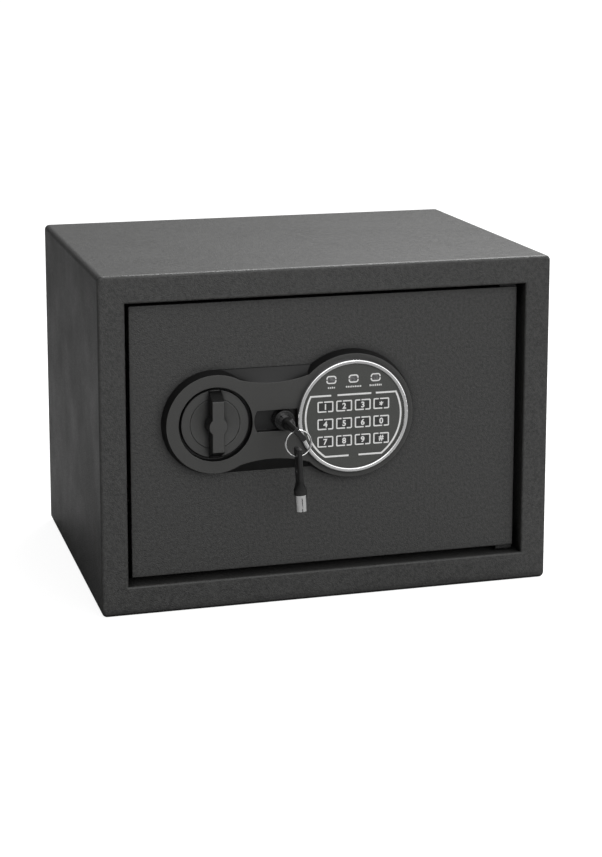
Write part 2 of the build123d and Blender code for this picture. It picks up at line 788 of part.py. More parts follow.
cell_y = bay_front + bay_wall + cell_radius + 0.5
cell_zs = [bay_z + (i - 1.5) * cell_pitch for i in range(4)]
with BuildPart() as batteries:
    for i, cell_z in enumerate(cell_zs):
        flip = 1 if i % 2 else -1
        with BuildSketch(Plane((bay_x - flip * cell_length / 2, cell_y, cell_z), z_dir=(flip, 0, 0))):
            Circle(cell_radius)
        extrude(amount=cell_length - 1.2)
        with BuildSketch(Plane((bay_x - flip * cell_length / 2, cell_y, cell_z), z_dir=(flip, 0, 0))):
            Circle(2.7)
        extrude(amount=cell_length)
batteries.part.label = "batteries"
export_step(batteries.part, "parts/batteries.step")

contact_side = 11
contact_thickness = 0.5
with BuildPart() as battery_contacts:
    for side in (-1, 1):
        plate_x = bay_x + side * (bay_inner_length / 2 - 0.3)
        for cell_z in cell_zs:
            with BuildSketch(Plane((plate_x + side * 0.3, cell_y, cell_z), z_dir=(-side, 0, 0))):
                Rectangle(contact_side, contact_side)
            extrude(amount=contact_thickness)
            with BuildSketch(Plane((plate_x + side * 0.3, cell_y, cell_z), z_dir=(-side, 0, 0))):
                Circle(3.4)
            extrude(amount=(bay_inner_length - cell_length) / 2 - 0.1, taper=18)
battery_contacts.part.label = "battery_contacts"
export_step(battery_contacts.part, "parts/battery_contacts.step")

lid_thickness = 2
lid_grip_length = 18
lid_grip_height = 6
lid_grip_depth = 1
with BuildPart() as battery_cover:
    with BuildSketch(front_plane(cover_back + 0.8)):
        with Locations((bay_x, bay_z)):
            RectangleRounded(hatch_length - 2 * lid_gap, hatch_height - 2 * lid_gap, 1.6)
    extrude(amount=lid_thickness)
    with BuildSketch(front_plane(cover_back + 0.8)):
        with Locations((bay_x, bay_z + hatch_height / 2 - 9)):
            SlotOverall(lid_grip_length, lid_grip_height)
    extrude(amount=lid_grip_depth, mode=Mode.SUBTRACT)
battery_cover.part.label = "battery_cover"
export_step(battery_cover.part, "parts/battery_cover.step")

# ---------------------------------------------------------------- override lock
lock_face = -131
lock_back = -104
core_radius = 6
nut_across_flats = 22
barrel_radius = 4.5
barrel_bore = 3.1
key_groove_depth = 8

lock_edge_round = 0.6
with BuildPart() as lock_housing:
    with BuildSketch(front_plane(lock_back)):
        with Locations((lock_x, control_z)):
            Circle(lock_body_radius)
            Circle(core_radius + running_gap, mode=Mode.SUBTRACT)
    extrude(amount=lock_back - lock_face)
    fillet(lock_housing.faces().sort_by(Axis.Y)[0].outer_wire().edges(), lock_edge_round)
lock_housing.part.label = "lock_housing"
export_step(lock_housing.part, "parts/lock_housing.step")

nut_thickness = 5
with BuildPart() as lock_nut:
    with BuildSketch(front_plane(door_back + 5)):
        with Locations((lock_x, control_z)):
            RegularPolygon(nut_across_flats / 2, 6, major_radius=False)
            Circle(lock_body_radius + seat_gap, mode=Mode.SUBTRACT)
    extrude(amount=nut_thickness)
lock_nut.part.label = "lock_nut"
export_step(lock_nut.part, "parts/lock_nut.step")

with BuildPart() as lock_core:
    with BuildSketch(front_plane(lock_back + 1.5)):
        with Locations((lock_x, control_z)):
            Circle(core_radius)
    extrude(amount=lock_back + 1.5 - lock_face)
    with BuildSketch(front_plane(lock_face)):
        with Locations((lock_x, control_z)):
            Circle(barrel_radius + 0.1)
            Circle(barrel_bore - 0.1, mode=Mode.SUBTRACT)
    extrude(amount=-key_groove_depth, mode=Mode.SUBTRACT)
lock_core.part.label = "lock_core"
export_step(lock_core.part, "parts/lock_core.step")

lock_cam_hub_radius = 7
lock_cam_reach = 16
lock_cam_width = 8
lock_cam_thickness = 3
with BuildPart() as lock_cam:
    with BuildSketch(front_plane(lock_back + 4.5)):
        with Locations((lock_x, control_z)):
            Circle(lock_cam_hub_radius)
        with Locations((lock_x, control_z - 8)):
            SlotCenterToCenter(lock_cam_reach, lock_cam_width, rotation=90)
    extrude(amount=lock_cam_thickness)
lock_cam.part.label = "lock_cam"
export_step(lock_cam.part, "parts/lock_cam.step")

# ---------------------------------------------------------------- keys and split ring
barrel_length = 12.3
barrel_in_lock = 4.5
barrel_slot_width = 0.7
handle_length = 34.7
handle_width = 12
handle_thickness = 3.8
handle_corner = 1.6
shoulder_radius = 4.8
shoulder_straight = 3.8
shoulder_length = 11
ring_slot_radius = 2.6
ring_slot_from_end = 6.8
ring_slot_reach = 9
ring_from_end = 13
split_ring_radius = 9.7
split_ring_wire = 0.6
split_ring_pitch = 1
split_ring_lean = 12
split_ring_sag = 0.3
key_a_roll = 50
key_b_lean = 3
key_b_drop = 1.2


barrel_closed_end = 2
def key_barrel_on(plane):
    # Chrome tube below the plane, with a fine slot along one side.
    with BuildPart() as barrel:
        with BuildSketch(plane):
            Circle(barrel_radius)
            Circle(barrel_bore, mode=Mode.SUBTRACT)
        extrude(amount=-barrel_length)
        with BuildSketch(plane.offset(-barrel_length)):
            with Locations((-barrel_radius, 0)):
                Rectangle(barrel_radius, barrel_slot_width)
        extrude(amount=barrel_length - barrel_closed_end, mode=Mode.SUBTRACT)
    return barrel


def key_handle_on(plane):
    # Flat handle above the plane: its width is along the plane's x, its ring slot runs through along the plane's y.
    with BuildPart() as handle:
        with BuildSketch(plane):
            Circle(shoulder_radius)
        extrude(amount=shoulder_straight)
        with BuildSketch(plane.offset(shoulder_straight)):
            Circle(shoulder_radius)
        with BuildSketch(plane.offset(shoulder_length)):
            RectangleRounded(handle_width, handle_thickness, handle_corner)
        loft()
        with BuildSketch(plane.offset(shoulder_length)):
            RectangleRounded(handle_width, handle_thickness, handle_corner)
        extrude(amount=handle_length - shoulder_length)
        side = Plane(plane.origin, x_dir=plane.x_dir, z_dir=-plane.y_dir)
        with BuildSketch(side):
            with Locations((0, handle_length - ring_slot_from_end - ring_slot_reach / 2)):
                SlotCenterToCenter(ring_slot_reach, 2 * ring_slot_radius, rotation=90)
        extrude(amount=handle_thickness, both=True, mode=Mode.SUBTRACT)
    return handle


handle_root_y = lock_face + barrel_in_lock - barrel_length
ring_y = handle_root_y - handle_length + ring_from_end
roll = radians(key_a_roll)
key_a_plane = Plane((lock_x, handle_root_y, control_z), x_dir=(cos(roll), 0, -sin(roll)), z_dir=(0, -1, 0))

# The ring hangs from a little below the middle of the key's slot, and swings towards the keypad.
ring_lean = radians(split_ring_lean)
ring_hang = Vector(lock_x + split_ring_sag * cos(roll), ring_y, control_z - split_ring_sag * sin(roll))
ring_centre = ring_hang + split_ring_radius * Vector(sin(ring_lean), 0, -cos(ring_lean))
key_b_pivot = ring_centre - Vector(0, 0, split_ring_radius)
key_b_up = Vector(-sin(radians(key_b_lean)), 0, cos(radians(key_b_lean)))
key_b_root = key_b_pivot - key_b_up * (key_b_drop + handle_length - ring_slot_from_end)
key_b_plane = Plane(key_b_root, x_dir=(0, 1, 0), z_dir=key_b_up)

for name, plane in (("a", key_a_plane), ("b", key_b_plane)):
    key_handle = key_handle_on(plane)
    key_handle.part.label = f"key_{name}_handle"
    export_step(key_handle.part, f"parts/key_{name}_handle.step")
    key_barrel = key_barrel_on(plane)
    key_barrel.part.label = f"key_{name}_barrel"
    export_step(key_barrel.part, f"parts/key_{name}_barrel.step")

# The split ring's two turns lie side by side.
with BuildPart() as split_ring:
    with BuildSketch(Plane.YZ.offset(ring_centre.X)):
        with Locations(
            (ring_y - split_ring_pitch / 2, ring_centre.Z + split_ring_radius),
            (ring_y + split_ring_pitch / 2, ring_centre.Z + split_ring_radius),
        ):
            Circle(split_ring_wire)
    revolve(axis=Axis(ring_centre, (0, 1, 0)))
split_ring.part.label = "split_ring"
export_step(split_ring.part, "parts/split_ring.step")

# ---------------------------------------------------------------- wiring
# One cable inside the door, from the keypad's board to the battery box.
cable_radius = 1.6
cable_bend = 7
cable_points = [
    (cable_x, board_ledge + board_thickness, cable_z),
    (cable_x, -112, cable_z),
    (cable_x + 9, -104, cable_z + 6),
    (cable_x + 18, -98.5, cable_z + 1),
    (cable_x + 18, -98.5, bay_z + bay_height / 2),
]
with BuildPart() as keypad_cable:
    with BuildLine():
        FilletPolyline(*cable_points, radius=cable_bend)
    with BuildSketch(Plane(cable_points[0], z_dir=(0, 1, 0))):
        Circle(cable_radius)
    sweep()
keypad_cable.part.label = "keypad_cable"
export_step(keypad_cable.part, "parts/keypad_cable.step")
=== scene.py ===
# In-room safe: the looks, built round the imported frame. Lengths are metres, and mm stands for a millimetre.
import json
import math
import random
import bmesh
import bpy
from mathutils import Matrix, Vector, noise


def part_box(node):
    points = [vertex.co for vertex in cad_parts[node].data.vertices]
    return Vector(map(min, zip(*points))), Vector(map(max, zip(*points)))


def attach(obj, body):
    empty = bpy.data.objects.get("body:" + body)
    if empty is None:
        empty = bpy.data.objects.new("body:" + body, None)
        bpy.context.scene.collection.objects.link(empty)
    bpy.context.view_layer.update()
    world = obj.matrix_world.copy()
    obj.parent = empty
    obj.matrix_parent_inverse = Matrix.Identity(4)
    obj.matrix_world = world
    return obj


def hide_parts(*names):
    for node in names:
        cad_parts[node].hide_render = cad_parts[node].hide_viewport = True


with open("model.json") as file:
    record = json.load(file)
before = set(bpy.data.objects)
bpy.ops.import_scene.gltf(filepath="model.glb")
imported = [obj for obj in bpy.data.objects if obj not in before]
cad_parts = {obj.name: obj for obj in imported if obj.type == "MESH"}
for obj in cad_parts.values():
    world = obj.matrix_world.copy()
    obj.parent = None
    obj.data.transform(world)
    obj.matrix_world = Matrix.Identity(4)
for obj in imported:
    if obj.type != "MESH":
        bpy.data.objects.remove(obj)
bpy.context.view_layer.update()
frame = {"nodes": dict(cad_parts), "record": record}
nodes = frame["nodes"]
mm = 0.001
print("frame loaded:", len(nodes), "nodes")


def midOf(nodeName):
    low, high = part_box(nodeName)
    return (low + high) / 2


# camera and light
cameraSetup = {
    "place": (-0.4069, -1.5048, 0.5063),
    "azimuth": -15.58,
    "elevation": 9.64,
    "lens": 82.76,
    "shiftY": -0.2,
}
lightSetup = {
    "skyBehind": 1.0,      # what the camera sees
    "skyLow": 0.34,        # what lights the object from the sides
    "skyHigh": 0.66,
    "skyLeft": 0.06,       # share of that left on the dark side of the studio
    "skyFront": 1.15,      # added in front of the door, so that bright metal shows white
    "topPower": 37.0,      # overhead, behind the door's face
    "topPlace": (0.6, 0.5, 1.6),
    "topSize": (1.1, 0.9),
    "frontPower": 3.5,     # above and behind the camera
    "frontPlace": (0.1, -2.1, 0.8),
    "frontSize": (1.1, 0.8),
    "floorColour": (0.28, 0.28, 0.28, 1),
    "floorLift": 0.9,      # keeps the paper white to the camera
    "floorReach": 30,
    "floorDrop": 0.2 * mm,
}


def addCamera(setup):
    camera = bpy.data.cameras.new("camera")
    camera.lens = setup["lens"]
    camera.sensor_width = 36
    camera.shift_y = setup["shiftY"]
    camera.clip_start = 0.05
    camera.clip_end = 100
    holder = bpy.data.objects.new("camera", camera)
    bpy.context.scene.collection.objects.link(holder)
    holder.location = setup["place"]
    holder.rotation_euler = (math.radians(90 - setup["elevation"]), 0, math.radians(setup["azimuth"]))
    bpy.context.scene.camera = holder


def addAreaLight(name, place, aim, size, power):
    lamp = bpy.data.lights.new(name, "AREA")
    lamp.shape = "RECTANGLE"
    lamp.size, lamp.size_y = size
    lamp.energy = power
    holder = bpy.data.objects.new(name, lamp)
    bpy.context.scene.collection.objects.link(holder)
    holder.location = place
    holder.rotation_euler = (Vector(aim) - Vector(place)).to_track_quat("-Z", "Y").to_euler()


def addStudio(setup):
    world = bpy.data.worlds.new("studio")
    bpy.context.scene.world = world
    world.use_nodes = True
    tree = world.node_tree
    backdrop = tree.nodes["Background"]
    coords = tree.nodes.new("ShaderNodeTexCoord")
    split = tree.nodes.new("ShaderNodeSeparateXYZ")
    ramp = tree.nodes.new("ShaderNodeMapRange")
    path = tree.nodes.new("ShaderNodeLightPath")
    choose = tree.nodes.new("ShaderNodeMix")
    ramp.inputs["From Min"].default_value = -0.2
    ramp.inputs["To Min"].default_value = setup["skyLow"]
    ramp.inputs["To Max"].default_value = setup["skyHigh"]
    choose.inputs["B"].default_value = setup["skyBehind"]
    tree.links.new(coords.outputs["Generated"], split.inputs["Vector"])
    tree.links.new(split.outputs["Z"], ramp.inputs["Value"])
    tree.links.new(path.outputs["Is Camera Ray"], choose.inputs["Factor"])
    side = spread(tree, split.outputs["X"], -0.55, 0.55, setup["skyLeft"], 1.0)
    ahead = spread(tree, split.outputs["Y"], 0.0, -0.7, 0.0, setup["skyFront"])
    flank = spread(tree, split.outputs["X"], -0.8, -0.2, 0.1, 1.0)
    around = mathNode(tree, "MULTIPLY", ramp.outputs["Result"], side)
    ahead = mathNode(tree, "MULTIPLY", ahead, flank)
    tree.links.new(mathNode(tree, "ADD", around, ahead), choose.inputs["A"])
    tree.links.new(choose.outputs["Result"], backdrop.inputs["Strength"])
    backdrop.inputs["Color"].default_value = (1, 1, 1, 1)
    addAreaLight("softboxTop", setup["topPlace"], (0, 0.1, 0.2), setup["topSize"], setup["topPower"])
    addAreaLight("softboxFront", setup["frontPlace"], (0, -0.1, 0.12), setup["frontSize"],
                 setup["frontPower"])
    reach = setup["floorReach"]
    corners = [(-reach, -reach, 0), (reach, -reach, 0), (reach, reach, 0), (-reach, reach, 0)]
    mesh = bpy.data.meshes.new("floor")
    mesh.from_pydata(corners, [], [(0, 1, 2, 3)])
    floor = bpy.data.objects.new("floor", mesh)
    bpy.context.scene.collection.objects.link(floor)
    floor.location.z = -setup["floorDrop"]
    paper = bpy.data.materials.new("studioPaper")
    paper.use_nodes = True
    sheen = paper.node_tree.nodes["Principled BSDF"]
    sheen.inputs["Base Color"].default_value = setup["floorColour"]
    sheen.inputs["Roughness"].default_value = 0.9
    sheen.inputs["Emission Color"].default_value = (1, 1, 1, 1)
    path = paper.node_tree.nodes.new("ShaderNodeLightPath")
    lift = mathNode(paper.node_tree, "MULTIPLY", path.outputs["Is Camera Ray"], setup["floorLift"])
    paper.node_tree.links.new(lift, sheen.inputs["Emission Strength"])
    mesh.materials.append(paper)
    bpy.context.scene.view_settings.view_transform = "Standard"


addCamera(cameraSetup)


# shader groups
def startGroup(name, inputs, outputs):
    group = bpy.data.node_groups.new(name, "ShaderNodeTree")
    for label, value in inputs:
        kind = "NodeSocketColor" if isinstance(value, tuple) else "NodeSocketFloat"
        group.interface.new_socket(name=label, in_out="INPUT", socket_type=kind).default_value = value
    for label in outputs:
        kind = "NodeSocketVector" if label == "Normal" else "NodeSocketFloat"
        group.interface.new_socket(name=label, in_out="OUTPUT", socket_type=kind)
    return group, group.nodes.new("NodeGroupInput"), group.nodes.new("NodeGroupOutput")


def mathNode(tree, operation, first, second=0.5, clamp=False):
    node = tree.nodes.new("ShaderNodeMath")
    node.operation = operation
    node.use_clamp = clamp
    for socket, value in zip(node.inputs, (first, second)):
        if isinstance(value, bpy.types.NodeSocket):
            tree.links.new(value, socket)
        else:
            socket.default_value = value
    return node.outputs[0]


def noiseNode(tree, vector, scale, detail=2.0, roughness=0.5):
    node = tree.nodes.new("ShaderNodeTexNoise")
    node.inputs["Detail"].default_value = detail
    node.inputs["Roughness"].default_value = roughness
    tree.links.new(vector, node.inputs["Vector"])
    if isinstance(scale, bpy.types.NodeSocket):
        tree.links.new(scale, node.inputs["Scale"])
    else:
        node.inputs["Scale"].default_value = scale
    return node.outputs[0]


def spread(tree, value, low, high, outLow=0.0, outHigh=1.0):
    node = tree.nodes.new("ShaderNodeMapRange")
    node.inputs["From Min"].default_value = low
    node.inputs["From Max"].default_value = high
    node.inputs["To Min"].default_value = outLow
    node.inputs["To Max"].default_value = outHigh
    tree.links.new(value, node.inputs["Value"])
    return node.outputs["Result"]


def makeGrainGroup():
    # fine orange peel and specks of a sprayed or moulded skin
    group, source, sink = startGroup("skin grain", [("Grain mm", 0.6)], ["Height", "Speck"])
    place = group.nodes.new("ShaderNodeTexCoord").outputs["Object"]
    scale = mathNode(group, "DIVIDE", 1000.0, source.outputs["Grain mm"])
    peel = noiseNode(group, place, scale, 3.0, 0.6)
    cells = group.nodes.new("ShaderNodeTexVoronoi")
    group.links.new(place, cells.inputs["Vector"])
    group.links.new(scale, cells.inputs["Scale"])
    pits = spread(group, cells.outputs["Distance"], 0.0, 0.6)
    peelPart = mathNode(group, "MULTIPLY", peel, 0.6)
    pitPart = mathNode(group, "MULTIPLY", pits, 0.4)
    height = mathNode(group, "ADD", peelPart, pitPart)
    speckScale = mathNode(group, "MULTIPLY", scale, 0.55)
    speck = spread(group, noiseNode(group, place, speckScale, 4.0, 0.75), 0.38, 0.62)
    group.links.new(height, sink.inputs["Height"])
    group.links.new(speck, sink.inputs["Speck"])
    return group


def makeEdgeGroup():
    # where a corner or an edge turns, broken up so that it reads as handling wear
    inputs = [("Radius mm", 1.0), ("Break up", 0.5)]
    group, source, sink = startGroup("edge wear", inputs, ["Wear", "Normal"])
    bevel = group.nodes.new("ShaderNodeBevel")
    bevel.samples = 4
    group.links.new(mathNode(group, "MULTIPLY", source.outputs["Radius mm"], mm), bevel.inputs["Radius"])
    plain = group.nodes.new("ShaderNodeNewGeometry")
    dot = group.nodes.new("ShaderNodeVectorMath")
    dot.operation = "DOT_PRODUCT"
    group.links.new(bevel.outputs["Normal"], dot.inputs[0])
    group.links.new(plain.outputs["Normal"], dot.inputs[1])
    turn = spread(group, dot.outputs["Value"], 0.995, 0.80)
    place = group.nodes.new("ShaderNodeTexCoord").outputs["Object"]
    chips = spread(group, noiseNode(group, place, 260.0, 4.0, 0.7), 0.35, 0.65)
    kept = mathNode(group, "SUBTRACT", 1.0, mathNode(group, "MULTIPLY", chips, source.outputs["Break up"]))
    group.links.new(mathNode(group, "MULTIPLY", turn, kept, True), sink.inputs["Wear"])
    group.links.new(bevel.outputs["Normal"], sink.inputs["Normal"])
    return group


def makeHandlingGroup():
    # broad soft marks from hands and wiping
    group, source, sink = startGroup("handling marks", [("Patch mm", 40.0)], ["Mark"])
    place = group.nodes.new("ShaderNodeTexCoord").outputs["Object"]
    scale = mathNode(group, "DIVIDE", 1000.0, source.outputs["Patch mm"])
    broad = noiseNode(group, place, scale, 5.0, 0.6)
    group.links.new(spread(group, broad, 0.3, 0.7), sink.inputs["Mark"])
    return group


def makeBrushGroup():
    # long fine lines along one direction, as rolled or turned metal has
    inputs = [("Line mm", 0.25), ("Stretch X", 0.04), ("Stretch Y", 1.0), ("Stretch Z", 1.0)]
    group, source, sink = startGroup("metal lines", inputs, ["Height", "Line"])
    place = group.nodes.new("ShaderNodeTexCoord").outputs["Object"]
    join = group.nodes.new("ShaderNodeCombineXYZ")
    for axis in "XYZ":
        group.links.new(source.outputs["Stretch " + axis], join.inputs[axis])
    stretch = group.nodes.new("ShaderNodeVectorMath")
    stretch.operation = "MULTIPLY"
    group.links.new(place, stretch.inputs[0])
    group.links.new(join.outputs[0], stretch.inputs[1])
    scale = mathNode(group, "DIVIDE", 1000.0, source.outputs["Line mm"])
    lines = noiseNode(group, stretch.outputs[0], scale, 3.0, 0.65)
    group.links.new(lines, sink.inputs["Height"])
    group.links.new(spread(group, lines, 0.35, 0.65), sink.inputs["Line"])
    return group


def makeCavityShadeGroup():
    # how far a point lies down in a corner, a gap or a hollow, from ambient occlusion; the finishes use it to
    # paint shade into such places
    group, source, sink = startGroup("cavityShade", [("Reach mm", 6.0)], ["Open"])
    shade = group.nodes.new("ShaderNodeAmbientOcclusion")
    shade.samples = 8
    group.links.new(mathNode(group, "MULTIPLY", source.outputs["Reach mm"], mm), shade.inputs["Distance"])
    group.links.new(spread(group, shade.outputs["AO"], 0.5, 0.92), sink.inputs["Open"])
    return group


addStudio(lightSetup)
print("studio ready")

grainGroup = makeGrainGroup()
cavityShadeGroup = makeCavityShadeGroup()
edgeGroup = makeEdgeGroup()
handlingGroup = makeHandlingGroup()
brushGroup = makeBrushGroup()


def startMaterial(name):
    material = bpy.data.materials.new(name)
    material.use_nodes = True
    return material, material.node_tree, material.node_tree.nodes["Principled BSDF"]


def place(tree, group, **values):
    node = tree.nodes.new("ShaderNodeGroup")
    node.node_tree = group
    for label, value in values.items():
        node.inputs[label.replace("_", " ")].default_value = value
    return node.outputs


def tint(tree, factor, first, second):
    node = tree.nodes.new("ShaderNodeMix")
    node.data_type = "RGBA"
    sockets = [s for s in node.inputs if s.name in ("A", "B") and s.type == "RGBA"]
    for socket, value in zip(sockets, (first, second)):
        if isinstance(value, bpy.types.NodeSocket):
            tree.links.new(value, socket)
        else:
            socket.default_value = (*value, 1)
    factorSocket = next(s for s in node.inputs if s.name == "Factor" and s.type == "VALUE")
    tree.links.new(factor, factorSocket)
    return next(s for s in node.outputs if s.type == "RGBA")


def addBump(tree, shader, height, strength, depthMm, normal=None):
    bump = tree.nodes.new("ShaderNodeBump")
    if normal:
        tree.links.new(normal, bump.inputs["Normal"])
    bump.inputs["Strength"].default_value = strength
    bump.inputs["Distance"].default_value = depthMm * mm
    tree.links.new(height, bump.inputs["Height"])
    tree.links.new(bump.outputs["Normal"], shader.inputs["Normal"])


# painted shade: the near-black tone laid into gaps, corners and the recess round the lock
paintedShadeTone = (0.003, 0.003, 0.003)    # down in gaps and pockets


def skinMaterial(name, look):
    # powder coat, moulded plastic, rubber and ink: two close tones, grain, soft marks and worn edges, plus
    # painted shade on turned walls, in hollows and in the recess round the lock where a look asks for it
    material, tree, shader = startMaterial(name)
    grain = place(tree, grainGroup, Grain_mm=look["grainMm"])
    marks = place(tree, handlingGroup, Patch_mm=look.get("patchMm", 40.0))
    tones = tint(tree, grain["Speck"], look["dark"], look["light"])
    normal = None
    if look.get("wear"):
        edge = place(tree, edgeGroup, Radius_mm=look.get("wearMm", 0.8), Break_up=0.6)
        worn = mathNode(tree, "MULTIPLY", edge["Wear"], look["wear"])
        tones = tint(tree, worn, tones, look["wornTone"])
        normal = edge["Normal"]
    # painted shade: faces that turn away from the front are darkened towards a near-black tone
    if look.get("paintedWallShade"):    # faces that don't look straight out of the door
        facing = tree.nodes.new("ShaderNodeSeparateXYZ")
        tree.links.new(tree.nodes.new("ShaderNodeTexCoord").outputs["Normal"], facing.inputs["Vector"])
        turned = mathNode(tree, "ABSOLUTE", facing.outputs["Y"])
        tones = tint(tree, spread(tree, turned, 0.95, 0.8), tones, look["paintedWallShade"])
    # painted shade: the floor of the recess round the lock, inside a box given by two corners in millimetres,
    # is coloured near black
    if look.get("pocketShade"):    # the floor of the lock's pocket, between two corners in millimetres
        spot = tree.nodes.new("ShaderNodeSeparateXYZ")
        tree.links.new(tree.nodes.new("ShaderNodeTexCoord").outputs["Object"], spot.inputs["Vector"])
        lowCorner, highCorner = look["pocketShade"]
        pocketShadeMask = mathNode(tree, "GREATER_THAN", spot.outputs["Y"], lowCorner[1] * mm)
        for axis, i in (("X", 0), ("Z", 2)):
            pocketShadeMask = mathNode(tree, "MULTIPLY", pocketShadeMask,
                              mathNode(tree, "GREATER_THAN", spot.outputs[axis], lowCorner[i] * mm))
            pocketShadeMask = mathNode(tree, "MULTIPLY", pocketShadeMask,
                              mathNode(tree, "LESS_THAN", spot.outputs[axis], highCorner[i] * mm))
        tones = tint(tree, pocketShadeMask, tones, paintedShadeTone)
    # painted shade: corners, gaps and hollows are darkened towards the near-black tone by the
    # ambient-occlusion mask
    if look.get("cavityShade"):
        cavityShade = place(tree, cavityShadeGroup, Reach_mm=look["cavityShade"])
        tones = tint(tree, cavityShade["Open"], paintedShadeTone, tones)
    tree.links.new(tones, shader.inputs["Base Color"])
    low, high = look["roughness"]
    gloss = mathNode(tree, "ADD", mathNode(tree, "MULTIPLY", marks["Mark"], 0.5),
                     mathNode(tree, "MULTIPLY", grain["Speck"], 0.5))
    tree.links.new(spread(tree, gloss, 0.0, 1.0, low, high), shader.inputs["Roughness"])
    shader.inputs["Specular IOR Level"].default_value = look.get("specular", 0.5)
    addBump(tree, shader, grain["Height"], look["bump"], look.get("bumpMm", 0.08), normal)
    return material


def metalMaterial(name, look):
    # bare, plated or polished metal
    material, tree, shader = startMaterial(name)
    lines = place(tree, brushGroup, Line_mm=look["lineMm"], Stretch_X=look["stretch"][0],
                  Stretch_Y=look["stretch"][1], Stretch_Z=look["stretch"][2])
    marks = place(tree, handlingGroup, Patch_mm=look.get("patchMm", 12.0))
    tree.links.new(tint(tree, lines["Line"], look["dark"], look["light"]), shader.inputs["Base Color"])
    shader.inputs["Metallic"].default_value = 1.0
    low, high = look["roughness"]
    tree.links.new(spread(tree, marks["Mark"], 0.0, 1.0, low, high), shader.inputs["Roughness"])
    addBump(tree, shader, lines["Height"], look["bump"], look.get("bumpMm", 0.02))
    return material


